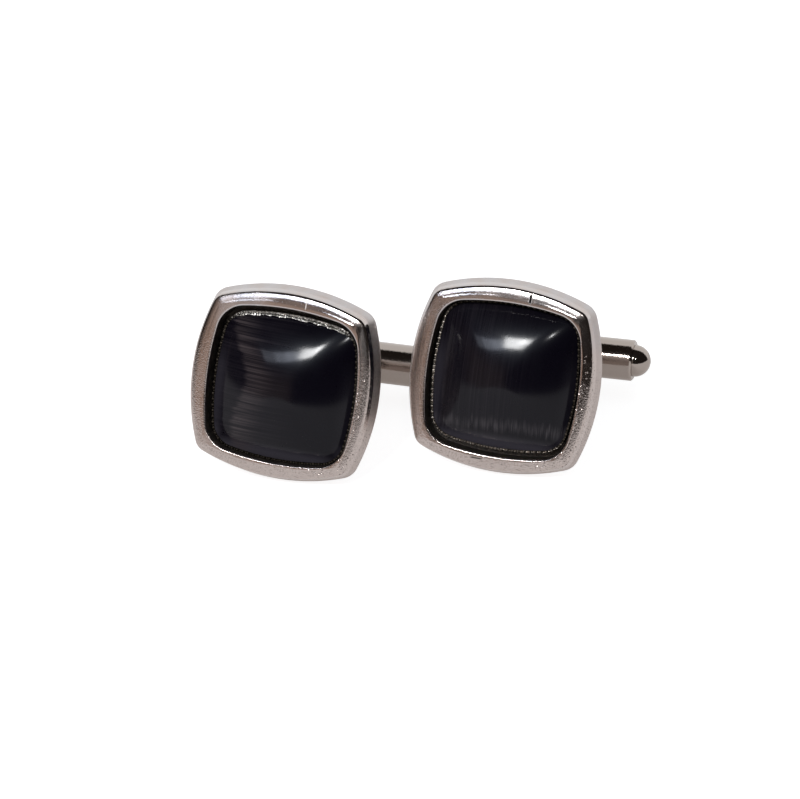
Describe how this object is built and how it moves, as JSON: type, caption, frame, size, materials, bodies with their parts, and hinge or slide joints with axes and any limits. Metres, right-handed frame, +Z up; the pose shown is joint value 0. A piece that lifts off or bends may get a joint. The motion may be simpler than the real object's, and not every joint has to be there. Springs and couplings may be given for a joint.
{
  "type": "pair of cufflinks",
  "caption": "Square bulged cufflinks with a black cat-eye cushion stone set low in a heavy bright rim, and a ball-ended bar that swings in a fork behind the head.",
  "frame": {"origin": "on the table, under the middle of the pair", "axes": "+Z up from the table, +X from the left link to the right link as seen from the faces, -Y towards the viewer of the faces"},
  "size_m": [0.0394, 0.026, 0.0158],
  "materials": {
    "plated_rim": "polished plate, scratched and pitted with wear",
    "bezel_metal": "thin toothed sheet, bright edge",
    "cement": "dull dark bed, hidden",
    "cat_eye_glass": "black fibre glass, polished, with a fine silky band",
    "plated_fitting": "polished plate",
    "spring_steel": "rolled strip",
    "rivet_metal": "polished rivet heads",
    "plated_bar": "polished plate with fine scratches along the bar"
  },
  "bodies": {
    "left_link": {"left_head_frame": "plated_rim", "left_bezel_cup": "bezel_metal", "left_stone_cement": "cement", "left_cat_eye_stone": "cat_eye_glass", "left_yoke": "plated_fitting", "left_click_spring": "spring_steel", "left_pivot_pin": "rivet_metal"},
    "right_link": {"right_head_frame": "plated_rim", "right_bezel_cup": "bezel_metal", "right_stone_cement": "cement", "right_cat_eye_stone": "cat_eye_glass", "right_yoke": "plated_fitting", "right_click_spring": "spring_steel", "right_pivot_pin": "rivet_metal"},
    "left_toggle": {"left_toggle_barrel": "plated_bar", "left_toggle_tip_a": "plated_bar", "left_toggle_tip_b": "plated_bar"},
    "right_toggle": {"right_toggle_barrel": "plated_bar", "right_toggle_tip_a": "plated_bar", "right_toggle_tip_b": "plated_bar"}
  },
  "joints": [
    {"name": "left_toggle_pivot", "type": "hinge", "parent": "left_link", "child": "left_toggle", "pos_m": [-0.00692, 0.00785, 0.00314], "axis": [-0.0808, -0.2641, -0.9611], "range_deg": [0, 90]},
    {"name": "right_toggle_pivot", "type": "hinge", "parent": "right_link", "child": "right_toggle", "pos_m": [0.01074, 0.0093, 0.00314], "axis": [-0.071, -0.2669, -0.9611], "range_deg": [0, 90]},
    {"name": "right_link_lift", "type": "slide", "parent": "left_link", "child": "right_link", "axis": [0, 0, 1], "range_m": [0, 0.03]}
  ]
}
